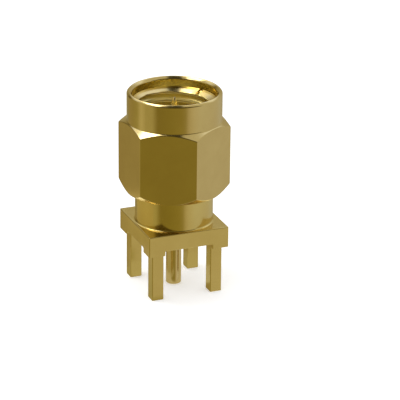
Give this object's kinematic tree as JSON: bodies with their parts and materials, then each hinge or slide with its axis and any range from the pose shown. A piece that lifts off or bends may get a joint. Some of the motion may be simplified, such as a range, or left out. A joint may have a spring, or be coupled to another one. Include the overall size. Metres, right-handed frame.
{
  "type": "sma connector",
  "caption": "Straight coaxial plug for a circuit board: a hexagon coupling nut turns on a snap ring round a square-based body with solder legs and a centre contact.",
  "frame": {"origin": "centre of the four leg tips' square, on the plane the tips stand on", "axes": "+Z along the connector's axis towards the mating end; X and Y square to the sides of the base"},
  "size_m": [0.008, 0.0092, 0.0168],
  "materials": {
    "body_gold": "gold flash over nickel on brass, satin",
    "ptfe": "machined PTFE, matte",
    "contact_gold": "gold plated, satin",
    "silicone": "soft silicone, matte",
    "ring_bronze": "spring bronze, plain",
    "nut_gold": "gold flash over nickel on brass, bright"
  },
  "bodies": {
    "body": {"connector_body": "body_gold", "insulator": "ptfe", "centre_contact": "contact_gold", "gasket": "silicone"},
    "ring": {"retaining_ring": "ring_bronze"},
    "nut": {"coupling_nut": "nut_gold"}
  },
  "joints": [
    {"name": "nut_play", "type": "slide", "parent": "body", "child": "ring", "axis": [0, 0, 1], "range_m": [0, 0.0002]},
    {"name": "nut_spin", "type": "hinge", "parent": "ring", "child": "nut", "pos_m": [0, 0, 0.0126], "axis": [0, 0, 1], "continuous": true}
  ]
}
